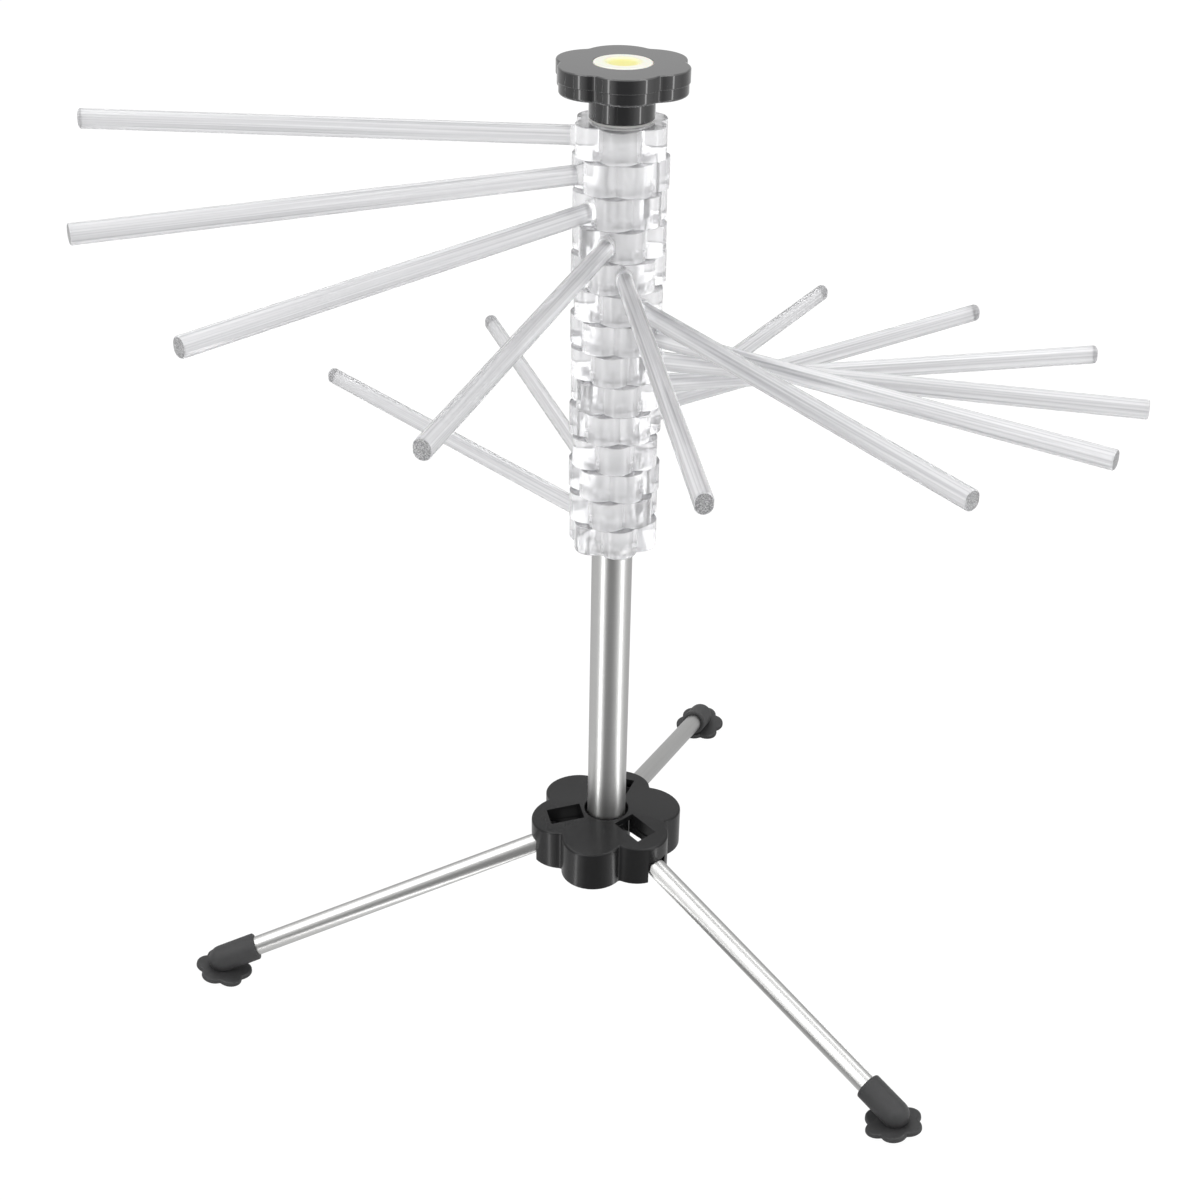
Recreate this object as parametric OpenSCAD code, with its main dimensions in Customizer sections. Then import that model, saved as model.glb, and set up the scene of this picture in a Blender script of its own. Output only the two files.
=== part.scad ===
// Pasta drying rack: a tube column on a three-leg folding base, a stack of clear arms
// that fans out like a spiral stair, and a knob that clamps the stack.
// Millimetres. The origin is on the floor under the column's axis, +Z up.

/* [Column] */
// Outside diameter of the column tube
column_d = 19; // [17:0.5:20]
// Wall of the column tube
column_wall = 1; // [0.8:0.1:1.4]
// How far the tube stops below the top of the stack
tube_drop = 6.5; // [5:0.5:9]

/* [Fan of arms] */
// Number of arms
arm_count = 14; // [10:1:15]
// Angle from one arm to the next when the fan is open
arm_step = 24; // [18:1:24]
// Direction of the top arm, counter-clockwise from +X
top_arm_angle = 181; // [0:1:359]
// Height of one collar, which is the pitch of the stack
arm_pitch = 14; // [13.5:0.1:16]
// Distance from the column's axis to an arm's tip
arm_reach = 228; // [180:1:240]
// Width of the oval rod
rod_w = 6.8; // [5.5:0.1:7.6]
// Height of the oval rod
rod_h = 8.4; // [7.8:0.1:8.8]
// Widest radius of a collar, at its lobes
collar_r = 20.6; // [20:0.1:23]
// Radius of a collar in the valleys between its lobes
collar_valley_r = 16.4; // [16.2:0.1:17.5]
// Running gap between a collar's bore and the column
collar_gap = 0.3; // [0.2:0.05:0.5]
// Height of the lowest collar's underside above the floor
stack_base_z = 226; // [200:1:250]

/* [Stack ring] */
// Thickness of the snap ring that carries the stack
ring_t = 1.5; // [1:0.1:1.8]
// How far the snap ring stands out from the column
ring_reach = 2.3; // [1.5:0.1:2.4]

/* [Base hub] */
// Widest radius of the hub, at its lobes
hub_r = 38; // [37:0.5:42]
// Radius of the hub in the valleys between its lobes
hub_valley_r = 30; // [29.5:0.5:32]
// Height of the hub's underside above the floor
hub_z = 50.5; // [46:0.5:56]
// Height of the hub's side at the tip of a lobe
hub_side_h = 20.5; // [19:0.5:25]
// How much higher the hub's middle is than its rim
hub_crown = 3.2; // [1.5:0.1:5]
// Wall of the hub's side
hub_wall = 2.4; // [1.8:0.1:3]
// Thickness of the hub's roof
hub_roof = 3; // [2:0.1:3.5]
// Wall of the boss that holds the column
boss_wall = 2.8; // [2.2:0.1:3.2]
// Depth of the column's seat below the rim of the hub
column_seat = 14; // [12:0.5:15]

/* [Legs] */
// Outside diameter of a leg tube
leg_d = 9.5; // [8:0.1:10]
// Wall of a leg tube
leg_wall = 0.8; // [0.6:0.1:1]
// Distance from the column's axis to the middle of a foot
foot_reach = 195.3; // [160:0.1:210]
// Direction of the first leg, counter-clockwise from +X
first_leg_angle = 193.5; // [0:0.1:359]
// How far a leg's hinge pin lies inside the tip of its lobe
pin_depth = 11; // [10.5:0.1:12.5]
// Height of a hinge pin above the hub's underside
pin_rise = 9.7; // [8.5:0.1:11]
// Diameter of a hinge pin
pin_d = 3; // [2.5:0.1:4]
// Width of the slot in the hub, across a leg
slot_w = 10.9; // [10.6:0.1:11.6]
// Length of a leg that the knuckle covers, from the pin
knuckle_l = 8; // [7:0.1:9]

/* [Feet] */
// Wall of the rubber socket
socket_wall = 2; // [1.5:0.1:2.6]
// Length of the socket, up to the middle of the foot
socket_l = 18; // [14:0.5:24]
// Widest radius of the pad, at its petals
pad_r = 14; // [12:0.1:16]
// Radius of the pad between its petals
pad_valley_r = 11.4; // [10.8:0.1:13]
// Thickness of the pad
pad_t = 2.4; // [1.8:0.1:3]
// Length of the pad that lies flat on the floor, from its inner edge
pad_rest = 6; // [4:0.1:10]
// Angle by which the rest of the pad curls up
pad_curl = 13; // [0:0.5:18]
// Turn of each pad's petals from its leg's direction
pad_turns = [-13.5, 12, -13.5]; // [-30:0.5:30]

/* [Knob] */
// Widest radius of the knob, at its lobes
knob_r = 29; // [27:0.5:33]
// Radius of the knob in the valleys between its lobes
knob_valley_r = 25.7; // [23.5:0.1:27]
// Height of the upper shell
knob_upper_h = 6; // [5:0.1:8]
// Height of the lower shell's rim
knob_lower_h = 5.2; // [4.5:0.1:7]
// How much smaller in radius the lower shell is than the upper one
knob_step = 0.5; // [0.2:0.1:1]
// Wall of the knob's shells
knob_wall = 2.2; // [1.6:0.1:2.8]
// Radius of the boss under the knob
knob_boss_r = 13.85; // [13:0.05:15]
// Height of the boss under the knob
knob_boss_h = 11.5; // [9:0.1:14]
// Direction of one of the knob's lobes, counter-clockwise from +X
knob_angle = 34.7; // [0:0.1:59]
// Thickness of the washer between the boss and the top collar
knob_washer_t = 1; // [0.6:0.1:1.6]
// Radius of the cap in the knob's top
cap_r = 12.45; // [11:0.05:13.5]
// How deep the cap sits in the knob
cap_seat = 3; // [2:0.1:3.4]
// Radius of the dished middle of the cap
dish_r = 7.4; // [5:0.1:9]
// Diameter of the stud that clamps the stack
stud_d = 8; // [6:0.5:10]
// Length of the stud's thread that is in the column's plug
stud_grip = 12; // [10:0.5:14]

/* [Hub screw] */
// Diameter of the screw that holds the column in the hub
screw_d = 5; // [4:0.5:6]

/* [Hidden] */
$fn = 96;
LEGS = [1, 2, 3];
ARMS = [1:arm_count];

// Clearances
press_gap = 0.05;
turn_gap = 0.1;
easy_gap = 0.3;
cut = 1;
far_cut = 80;

// Lobed outlines share one rule: six circles that meet in the valleys
lobe_count = 6;
lobe_turn = 360 / lobe_count;
half_lobe = lobe_turn / 2;
function lobe_centre(r, valley) =
  (r * r - valley * valley) / (2 * (r - valley * cos(half_lobe)));

// Column
column_r = column_d / 2;
column_bore_r = column_r - column_wall;
hub_rim_z = hub_z + hub_side_h;
column_foot_z = hub_rim_z - column_seat;
stack_top_z = stack_base_z + arm_count * arm_pitch;
column_top_z = stack_top_z - tube_drop;
plug_r = column_bore_r - press_gap;
plug_flange_r = column_r - turn_gap;
plug_flange_t = 2;
top_plug_l = stud_grip + plug_flange_t;
foot_plug_l = 15;
stud_r = stud_d / 2;
screw_r = screw_d / 2;

// The fan as it was last set: how far each arm is from its even place, from the top down
arm_trims = [-3.5, 0, -0.5, 1, 0.5, 2, 1.5, -0.5, -0.5, 0, 0, -0.5, -1, -1];
function arm_trim(k) = k > len(arm_trims) ? 0 : arm_trims[k - 1];
function arm_angle(k) = top_arm_angle + (k - 1) * arm_step + arm_trim(k);

// Collars
collar_bore_r = column_r + collar_gap;
arm_mid = arm_pitch / 2;
relief_r = column_r + ring_reach + easy_gap;
ring_lift = 1.1;
relief_h = ring_t + ring_lift;
lug_w = 1.8;
lug_h = 1.8;
lug_half = 8;
lug_end_gap = 0.6;
lug_travel = arm_step + 4;
lug_angle = 150;
lug_inner_r = relief_r + easy_gap;
lug_outer_r = lug_inner_r + lug_w;
track_outer_r = lug_outer_r + turn_gap * 2;
track_h = lug_h + easy_gap;
flare_l = 8;
flare_rise = 1.1;
flare_r = rod_h / 2 + flare_rise;
rod_sink = 1.5;
rod_start_r = collar_valley_r - rod_sink;

// Snap ring
ring_seat_z = stack_base_z + relief_h;
ring_groove = column_wall / 2;
ring_bore_r = column_r - ring_groove + press_gap;
ring_mouth = 50;

// Hub
pin_reach = hub_r - pin_depth;
hub_dome_r = (hub_r * hub_r + hub_crown * hub_crown) / (2 * hub_crown);
hub_dome_z = hub_rim_z + hub_crown - hub_dome_r;
hub_top_z = hub_rim_z + hub_crown;
boss_r = column_r + boss_wall;
boss_lift = 1;
boss_foot_z = hub_z + boss_lift;
collar_ring_gap = 1.5;
collar_ring_depth = 6;
seat_t = 2.5;
seat_ledge = 2;
screw_recess_r = column_r - seat_ledge;
cheek_t = 3;
cheek_inner_l = 7;
cheek_start_r = pin_reach - cheek_inner_l;
web_rise = 12;
web_z = hub_z + web_rise;
pin_hole_l = slot_w + 2 * cheek_t + 2 * easy_gap;
window_sill = 0.3;
window_start_r = boss_r + window_sill;
window_l = 16.8;
window_extra = 1.1;
window_w = slot_w + window_extra;
window_cut = 2;

// Legs
leg_r = leg_d / 2;
leg_bore_r = leg_r - leg_wall;
pin_r = pin_d / 2;
pin_z = hub_z + pin_rise;
socket_r = leg_r + socket_wall;
foot_sink = 0.35;
elbow_z = pad_t + socket_r - foot_sink;
leg_fall = pin_z - elbow_z;
leg_slope = atan2(leg_fall, foot_reach - pin_reach);
leg_l = norm([foot_reach - pin_reach, leg_fall]);
leg_tube_end = leg_l - socket_r - cut;
pad_bend = pad_rest - pad_r;
knuckle_w = slot_w - easy_gap * 2;
eye_extra = 0.4;
knuckle_r = leg_r + eye_extra;
knuckle_half_h = leg_r;
spigot_l = 14;
spigot_r = leg_bore_r - press_gap;
pin_inset = 0.2;
leg_pin_l = slot_w + 2 * cheek_t - 2 * pin_inset;
function leg_angle(i) = first_leg_angle + (i - 1) * 120;

// Knob
knob_washer_z = stack_top_z;
washer_inset = 0.4;
knob_washer_r = knob_boss_r - washer_inset;
knob_z = knob_washer_z + knob_washer_t;
knob_disc_z = knob_z + knob_boss_h;
knob_part_z = knob_disc_z + knob_lower_h;
knob_top_z = knob_part_z + knob_upper_h;
cap_proud = 0.2;
cap_seat_z = knob_top_z - cap_seat;
cap_rim = 2.5;
cap_core_r = cap_r + cap_rim;
dish_depth = 0.9;
dish_ball_r = (dish_r * dish_r + dish_depth * dish_depth) / (2 * dish_depth);
hex_share = 1.625;
stud_head_w = stud_d * hex_share;
stud_head_h = knob_lower_h;
stud_head_z = knob_part_z - stud_head_h;
stud_foot_z = column_top_z - stud_grip;
hex_round = cos(180 / 6);

// Hub screw
screw_head_share = 0.92;
screw_head_r = screw_d * screw_head_share;
screw_head_h = 2.4;
screw_socket_share = 0.3;
screw_socket_r = screw_d * screw_socket_share;
screw_socket_depth = 1.4;
screw_washer_w = 3.3;
screw_washer_r = screw_r + screw_washer_w;
screw_washer_t = 0.9;
screw_seat_z = column_foot_z - seat_t;
screw_l = 14;

// Six-lobed outline; inset moves its arcs inwards
module lobed(r, valley, inset = 0) {
  centre = lobe_centre(r, valley);
  circle(r = centre);
  for (i = [0:lobe_count - 1])
    rotate(i * lobe_turn)
      translate([centre, 0])
        circle(r = r - centre - inset);
}

// Flat ring or disc from z up
module disc(r, h, z = 0, bore = 0) {
  translate([0, 0, z])
    difference() {
      cylinder(r = r, h = h);
      if (bore > 0)
        translate([0, 0, -cut])
          cylinder(r = bore, h = h + 2 * cut);
    }
}

// Wedge outline from angle a to angle b, reaching past radius r
module wedge(a, b, r) {
  reach = 1.5 * r;
  mid = (a + b) / 2;
  polygon([
    [0, 0],
    [reach * cos(a), reach * sin(a)],
    [reach * cos(mid), reach * sin(mid)],
    [reach * cos(b), reach * sin(b)]
  ]);
}

// Part of a ring between two angles
module ring_sector(inner, outer, a, b, h) {
  linear_extrude(h)
    intersection() {
      difference() {
        circle(r = outer);
        circle(r = inner);
      }
      wedge(a, b, outer);
    }
}

// Column tube, with the groove for the snap ring
module column_tube() {
  color("silver")
    difference() {
      disc(column_r, column_top_z - column_foot_z, column_foot_z, column_bore_r);
      disc(
        column_r + cut,
        ring_t + turn_gap,
        ring_seat_z - ring_t - turn_gap / 2,
        column_r - ring_groove
      );
    }
}

// Threaded plug in the column's top, with a flange on the tube's end
module column_top_plug() {
  color("whitesmoke")
    difference() {
      union() {
        disc(plug_r, top_plug_l, column_top_z - top_plug_l);
        disc(plug_flange_r, plug_flange_t, column_top_z);
      }
      disc(stud_r + turn_gap, far_cut, column_top_z - far_cut / 2);
    }
}

// Plug in the column's foot, which the hub screw goes into
module column_foot_plug() {
  color("dimgray")
    disc(plug_r, foot_plug_l, column_foot_z, screw_r + press_gap);
}

// Snap ring that carries the stack, open on one side
module stack_ring() {
  color("gray")
    translate([0, 0, ring_seat_z - ring_t])
      ring_sector(
        ring_bore_r,
        column_r + ring_reach,
        90 + ring_mouth / 2,
        270,
        ring_t
      );
  color("gray")
    translate([0, 0, ring_seat_z - ring_t])
      ring_sector(
        ring_bore_r,
        column_r + ring_reach,
        -90,
        90 - ring_mouth / 2,
        ring_t
      );
}

// Hub outline cut to a dome, drop below the outer one
module hub_form(inset, drop) {
  intersection() {
    translate([0, 0, hub_z - (drop > 0 ? cut : 0)])
      linear_extrude(far_cut)
        rotate(first_leg_angle)
          lobed(hub_r, hub_valley_r, inset);
    translate([0, 0, hub_dome_z - drop])
      sphere(r = hub_dome_r, $fn = 200);
  }
}

// Upright plate beside a leg's slot, from radius a to b and from z up
module cheek(side, a, b, z) {
  translate([a, side * (slot_w + cheek_t) / 2 - cheek_t / 2, z])
    cube([b - a, cheek_t, hub_top_z - z]);
}

// Two plates that hold a leg's hinge pin, each with a shallower web back to the boss
module hub_cheeks() {
  for (side = [-1, 1]) {
    cheek(side, cheek_start_r, hub_r, boss_foot_z);
    cheek(side, column_r, cheek_start_r + cut, web_z);
  }
}

// Room for one leg: the notch in the side, the window in the roof and the pin's holes
module hub_leg_cuts() {
  translate([pin_reach, 0, pin_z])
    rotate([0, leg_slope, 0])
      translate([0, -slot_w / 2, -far_cut])
        cube([far_cut, slot_w, far_cut + leg_r + easy_gap]);
  translate([window_start_r, -window_w / 2, hub_rim_z - hub_roof - window_cut])
    cube([window_l, window_w, far_cut]);
  translate([pin_reach, pin_hole_l / 2, pin_z])
    rotate([90, 0, 0])
      cylinder(r = pin_r, h = pin_hole_l);
}

// Base hub: a six-lobed shell, open underneath, with a boss for the column
module hub() {
  color("#3b3b3d")
    difference() {
      union() {
        difference() {
          hub_form(0, 0);
          hub_form(hub_wall, hub_roof);
        }
        intersection() {
          hub_form(hub_wall / 2, 0);
          union() {
            disc(boss_r, far_cut, boss_foot_z);
            for (i = LEGS)
              rotate(leg_angle(i))
                hub_cheeks();
          }
        }
      }
      disc(column_r + press_gap, far_cut, column_foot_z);
      disc(column_r + collar_ring_gap, far_cut, hub_top_z - collar_ring_depth);
      disc(screw_r + easy_gap, far_cut, hub_z);
      disc(screw_recess_r, screw_seat_z - hub_z + cut, hub_z - cut);
      for (i = LEGS)
        rotate(leg_angle(i))
          hub_leg_cuts();
    }
}

// Screw from under the hub into the column's foot plug
module hub_screw() {
  head_z = screw_seat_z - screw_washer_t - screw_head_h;
  color("silver")
    difference() {
      union() {
        disc(screw_head_r, screw_head_h, head_z);
        disc(screw_r, screw_l, head_z + screw_head_h);
      }
      translate([0, 0, head_z - cut])
        cylinder(r = screw_socket_r / hex_round, h = screw_socket_depth + cut, $fn = 6);
    }
}

// Washer under the hub screw's head
module hub_washer() {
  color("silver")
    disc(
      screw_washer_r,
      screw_washer_t,
      screw_seat_z - screw_washer_t,
      screw_r + turn_gap
    );
}

// Puts a leg's pieces in place: the pin at their origin, the leg along +X
module at_leg(i) {
  rotate(leg_angle(i))
    translate([pin_reach, 0, pin_z])
      rotate([0, leg_slope, 0])
        children();
}

// Cylinder along +X from a to b
module bar(r, a, b) {
  translate([a, 0, 0])
    rotate([0, 90, 0])
      cylinder(r = r, h = b - a);
}

// Hinge pin across the hub's slot
module leg_pin(i) {
  color("silver")
    at_leg(i)
      translate([0, leg_pin_l / 2, 0])
        rotate([90, 0, 0])
          cylinder(r = pin_r, h = leg_pin_l);
}

// Leg tube
module leg_tube(i) {
  color("silver")
    at_leg(i)
      difference() {
        bar(leg_r, knuckle_l, leg_tube_end);
        bar(leg_bore_r, knuckle_l - cut, leg_tube_end + cut);
      }
}

// Knuckle: an eye on the pin, and a spigot in the leg tube
module leg_knuckle(i) {
  color("#262628")
    at_leg(i)
      difference() {
        union() {
          translate([0, knuckle_w / 2, 0])
            rotate([90, 0, 0])
              cylinder(r = knuckle_r, h = knuckle_w);
          translate([0, -knuckle_half_h, -knuckle_half_h])
            cube([knuckle_l, 2 * knuckle_half_h, 2 * knuckle_half_h]);
          bar(spigot_r, 0, knuckle_l + spigot_l);
        }
        translate([0, slot_w, 0])
          rotate([90, 0, 0])
            cylinder(r = pin_r + turn_gap, h = 2 * slot_w);
      }
}

// Puts a foot's pad in place: the floor under its middle at their origin, the leg's direction along +X
module at_foot(i) {
  rotate(leg_angle(i))
    translate([foot_reach, 0, 0])
      children();
}

// Turns a pad's outer part up, about the line where it leaves the floor
module curled() {
  translate([pad_bend, 0, 0])
    rotate([0, -pad_curl, 0])
      translate([-pad_bend, 0, 0])
        children();
}

// The part of pad i between x = a and x = b
module pad_part(i, a, b) {
  intersection() {
    linear_extrude(pad_t)
      rotate(pad_turns[i - 1])
        lobed(pad_r, pad_valley_r);
    translate([a, -far_cut / 2, -cut])
      cube([b - a, far_cut, far_cut]);
  }
}

// Rubber foot: a socket that ends in a round elbow, on a six-petal pad with its outer part off the floor
module leg_foot(i) {
  color("#4a4a4a")
    difference() {
      union() {
        intersection() {
          at_leg(i)
            union() {
              bar(socket_r, leg_l - socket_l, leg_l);
              translate([leg_l, 0, 0])
                sphere(r = socket_r);
            }
          at_foot(i)
            curled()
              translate([-far_cut / 2, -far_cut / 2, 0])
                cube(far_cut);
        }
        at_foot(i) {
          pad_part(i, -2 * pad_r, pad_bend);
          curled()
            pad_part(i, pad_bend, 2 * pad_r);
        }
      }
      at_leg(i)
        bar(leg_r + press_gap, leg_l - socket_l - cut, leg_tube_end);
    }
}

// Upright oval outline of a rod
module rod_outline() {
  straight = rod_h - rod_w;
  for (side = [-1, 1])
    translate([0, side * straight / 2])
      circle(d = rod_w);
  square([rod_w, straight], center = true);
}

// One arm in its own frame: the collar's underside at z = 0, the rod along +X
module arm_moulding(lug) {
  difference() {
    union() {
      linear_extrude(arm_pitch)
        rotate(half_lobe)
          lobed(collar_r, collar_valley_r);
      translate([rod_start_r, 0, arm_mid])
        rotate([90, 0, 90])
          linear_extrude(arm_reach - rod_start_r)
            rod_outline();
      translate([rod_start_r, 0, arm_mid])
        rotate([0, 90, 0])
          cylinder(r1 = flare_r, r2 = rod_w / 2, h = flare_l);
      if (lug)
        translate([0, 0, arm_pitch - cut])
          ring_sector(
            lug_inner_r,
            lug_outer_r,
            lug_angle - lug_half,
            lug_angle + lug_half,
            lug_h + cut
          );
    }
    disc(collar_bore_r, far_cut, -cut);
    disc(relief_r, relief_h + cut, -cut);
    translate([0, 0, -cut])
      ring_sector(
        collar_bore_r,
        track_outer_r,
        lug_angle - lug_half - lug_end_gap,
        lug_angle + lug_travel + lug_half + lug_end_gap,
        track_h + cut
      );
  }
}

// Arm k, counted from the top; the top one has no lug, so that the washer lies flat
module arm(k) {
  color("whitesmoke", 0.5)
    translate([0, 0, stack_top_z - k * arm_pitch])
      rotate(arm_angle(k))
        arm_moulding(k > 1);
}

// Knob outline from z up
module knob_form(z, h, inset = 0) {
  translate([0, 0, z])
    linear_extrude(h)
      rotate(knob_angle)
        lobed(knob_r, knob_valley_r, inset);
}

// Upper shell, with a core that holds the cap and presses on the stud's head
module knob_upper_shell() {
  color("#1a1a1c")
    difference() {
      knob_form(knob_part_z, knob_upper_h);
      difference() {
        knob_form(knob_part_z - cut, knob_upper_h - knob_wall + cut, knob_wall);
        disc(cap_core_r, far_cut, knob_part_z - cut);
      }
      disc(cap_r + turn_gap, far_cut, cap_seat_z);
    }
}

// Lower shell, with the boss and the stud's pocket
module knob_lower_shell() {
  color("#1a1a1c")
    difference() {
      union() {
        difference() {
          knob_form(knob_disc_z, knob_lower_h, knob_step);
          knob_form(knob_disc_z + knob_wall, knob_lower_h, knob_step + knob_wall);
        }
        disc(knob_boss_r, knob_part_z - knob_z, knob_z);
      }
      disc(stud_r + press_gap, far_cut, knob_z - cut);
      translate([0, 0, stud_head_z])
        cylinder(
          r = (stud_head_w / 2 + press_gap) / hex_round,
          h = stud_head_h + cut,
          $fn = 6
        );
    }
}

// Cap with a dished middle
module knob_cap() {
  color("#f6f1cf")
    difference() {
      disc(cap_r, cap_seat + cap_proud, cap_seat_z);
      translate([0, 0, knob_top_z + cap_proud + dish_ball_r - dish_depth])
        sphere(r = dish_ball_r, $fn = 200);
    }
}

// Hexagon-headed stud
module knob_stud() {
  color("silver")
    union() {
      translate([0, 0, stud_head_z])
        cylinder(r = stud_head_w / 2 / hex_round, h = stud_head_h, $fn = 6);
      disc(stud_r, stud_head_z - stud_foot_z, stud_foot_z);
    }
}

// Washer that rises with the knob but doesn't turn with it
module knob_washer() {
  color("white", 0.7)
    disc(knob_washer_r, knob_washer_t, knob_washer_z, stud_r + easy_gap);
}

column_tube();
column_top_plug();
column_foot_plug();
stack_ring();
hub();
hub_screw();
hub_washer();
for (i = LEGS) {
  leg_pin(i);
  leg_tube(i);
  leg_knuckle(i);
  leg_foot(i);
}
for (k = ARMS)
  arm(k);
knob_upper_shell();
knob_lower_shell();
knob_cap();
knob_stud();
knob_washer();
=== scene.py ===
# %% [markdown]
# # A pasta drying rack, piece by piece
#
# The real rack is a stainless column on three folding legs. Fourteen clear acrylic arms are threaded on
# the column like the steps of a spiral stair, and a black lobed knob clamps them. The construction model
# gives every piece its place. This lesson gives each of them its looks, and shows how each was made.

# %% Load the construction model
from math import cos, pi, radians, sin, tan, tau

import bpy
from mathutils import Matrix, Vector


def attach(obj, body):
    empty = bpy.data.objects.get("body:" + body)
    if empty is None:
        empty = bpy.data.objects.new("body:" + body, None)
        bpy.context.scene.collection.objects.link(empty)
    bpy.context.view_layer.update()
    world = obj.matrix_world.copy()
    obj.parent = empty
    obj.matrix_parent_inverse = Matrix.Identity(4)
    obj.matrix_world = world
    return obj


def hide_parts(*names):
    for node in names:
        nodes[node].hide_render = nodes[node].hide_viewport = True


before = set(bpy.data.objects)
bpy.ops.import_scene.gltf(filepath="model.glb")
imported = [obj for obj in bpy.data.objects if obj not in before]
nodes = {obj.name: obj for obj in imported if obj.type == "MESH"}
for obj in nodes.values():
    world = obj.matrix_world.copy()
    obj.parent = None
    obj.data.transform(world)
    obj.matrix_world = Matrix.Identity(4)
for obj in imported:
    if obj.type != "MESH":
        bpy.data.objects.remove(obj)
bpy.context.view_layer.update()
MM = 0.001

# %% [markdown]
# ## The camera
#
# The photograph was taken from a little above the knob, looking down about 30 degrees. The camera's place
# and lens were worked out from the arm tips, the feet and the edges of the column, so the model can be set
# straight against the photograph. A camera object looks along its own -Z with +Y up, so its three axes are
# written into its matrix as columns.

# %% Camera
CAMERA_BACK, CAMERA_HEIGHT = 0.78533, 0.63995
CAMERA_YAW, CAMERA_PITCH, CAMERA_ROLL = radians(-0.38), radians(29.61), radians(1.10)
FOCAL_PIXELS, PHOTO_PIXELS, SENSOR = 1913.69, 1200, 36.0


def camera_axes():
    """The camera's right, up and backward directions."""
    level = cos(CAMERA_PITCH)
    ahead = Vector((sin(CAMERA_YAW) * level, cos(CAMERA_YAW) * level, -sin(CAMERA_PITCH)))
    right = Vector((cos(CAMERA_YAW), -sin(CAMERA_YAW), 0))
    up = right.cross(ahead)
    turned_right = cos(CAMERA_ROLL) * right + sin(CAMERA_ROLL) * up
    turned_up = -sin(CAMERA_ROLL) * right + cos(CAMERA_ROLL) * up
    return turned_right, turned_up, -ahead


camera = bpy.data.objects.new("camera", bpy.data.cameras.new("camera"))
bpy.context.scene.collection.objects.link(camera)
camera.data.sensor_width = SENSOR
camera.data.lens = FOCAL_PIXELS / PHOTO_PIXELS * SENSOR
camera.data.clip_start, camera.data.clip_end = 0.01, 100
camera_place = Matrix.Translation((0, -CAMERA_BACK, CAMERA_HEIGHT))
camera.matrix_world = camera_place @ Matrix(camera_axes()).transposed().to_4x4()
bpy.context.scene.camera = camera
bpy.context.scene.view_settings.view_transform = "Standard"
print("lens", round(camera.data.lens, 2), "mm")

# %% [markdown]
# ## Writing node trees as sums
#
# Materials and Geometry Nodes are both trees of nodes. A tree drawn by hand is easy to read on screen and
# hard to read in a script, so a small class wraps one socket and turns Python's + - * / into Math nodes.
# Every other kind of node comes from one method, which takes the node's settings first and then its inputs.


# %% Wire and Sheet
class Wire:
    """One output socket, to be used in Python expressions."""

    def __init__(self, sheet, socket):
        self.sheet, self.socket = sheet, socket

    def math(self, operation, *others):
        return self.sheet.node("ShaderNodeMath", {"operation": operation}, dict(enumerate((self, *others))))

    def turned(self, operation, other):
        """The same with the other value first."""
        return self.sheet.node("ShaderNodeMath", {"operation": operation}, {0: other, 1: self})

    def clamped(self):
        """Held between 0 and 1."""
        return self.math("MAXIMUM", 0).math("MINIMUM", 1)

    def __add__(self, other):
        return self.math("ADD", other)

    def __sub__(self, other):
        return self.math("SUBTRACT", other)

    def __mul__(self, other):
        return self.math("MULTIPLY", other)

    def __truediv__(self, other):
        return self.math("DIVIDE", other)

    def __rsub__(self, other):
        return self.turned("SUBTRACT", other)

    __radd__, __rmul__ = __add__, __mul__


class Sheet:
    """A node tree to write on."""

    def __init__(self, tree):
        self.tree = tree

    def node(self, kind, settings=None, inputs=None, output=0):
        """A new node with its settings and its inputs, as a wire from one of its outputs."""
        made = self.tree.nodes.new(kind)
        for key, value in (settings or {}).items():
            if key == "stops":
                self.set_stops(made.color_ramp, value)
            else:
                setattr(made, key, value)
        for key, value in (inputs or {}).items():
            self.feed(made.inputs[key], value)
        return Wire(self, made.outputs[output]) if len(made.outputs) else made

    def feed(self, socket, value):
        """Links a wire to a socket, or several of them, or sets the socket to a plain value."""
        for one in value if isinstance(value, list) else [value]:
            if isinstance(one, Wire):
                self.tree.links.new(one.socket, socket)
            else:
                socket.default_value = one

    def set_stops(self, ramp, stops):
        """Writes a ramp's stops, each a place and a grey or a colour."""
        while len(ramp.elements) < len(stops):
            ramp.elements.new(0.5)
        for element, (place, shade) in zip(ramp.elements, stops):
            element.position = place
            element.color = (*shade, 1) if isinstance(shade, tuple) else (shade, shade, shade, 1)

    def split(self, vector):
        """A vector's three numbers."""
        first = self.node("ShaderNodeSeparateXYZ", {}, {0: vector})
        return [Wire(self, s) for s in first.socket.node.outputs]

    def point(self, x, y, z):
        return self.node("ShaderNodeCombineXYZ", {}, {0: x, 1: y, 2: z})

    def blend(self, share, first, second):
        """Mixes two colours."""
        return self.node("ShaderNodeMix", {"data_type": "RGBA"}, {0: share, 6: first, 7: second}, output=2)


print("Wire and Sheet are ready")

# %% [markdown]
# ## Finishes
#
# A finish is a Principled shader whose steady values are set on its own sockets. Only what changes over
# the surface is wired: colour, roughness and the bump. Patterns read Object coordinates, which are metres
# here, so a scale of 4000 means detail of a quarter of a millimetre.


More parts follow.
